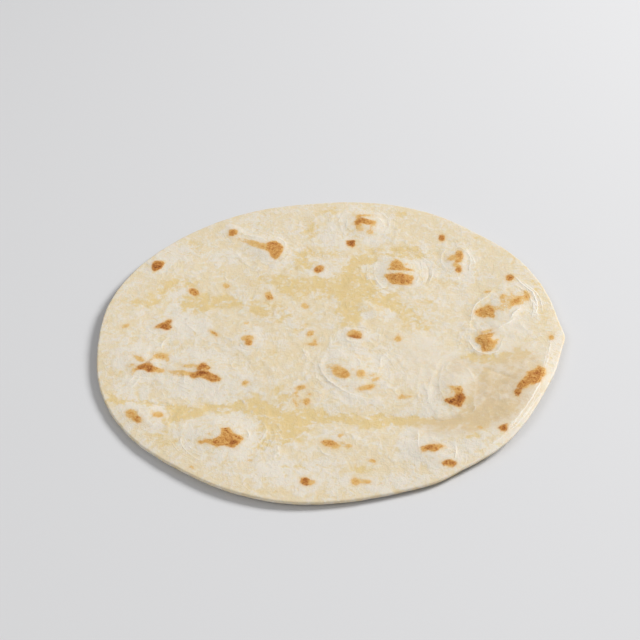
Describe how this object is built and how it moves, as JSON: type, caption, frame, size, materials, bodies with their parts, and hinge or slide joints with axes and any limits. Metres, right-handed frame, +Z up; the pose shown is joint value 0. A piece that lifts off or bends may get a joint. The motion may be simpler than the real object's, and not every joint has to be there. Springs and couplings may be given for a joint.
{
  "type": "flour tortilla",
  "caption": "Thin soft round flatbread of wheat dough lying flat, its top face blistered and toasted in spots, its uneven rim curling up a little.",
  "frame": {"origin": "middle of the round's reach along X and Y, on the surface it lies on", "axes": "+Z up, out of the spotted face; +X to the right and +Y away from the viewer as the picture shows it"},
  "size_m": [0.1946, 0.1944, 0.0057],
  "materials": {
    "dough": "soft matt wheat dough, floury, with translucent pressed patches and toasted brown spots"
  },
  "bodies": {
    "root": {"tortilla": "dough"}
  },
  "joints": []
}
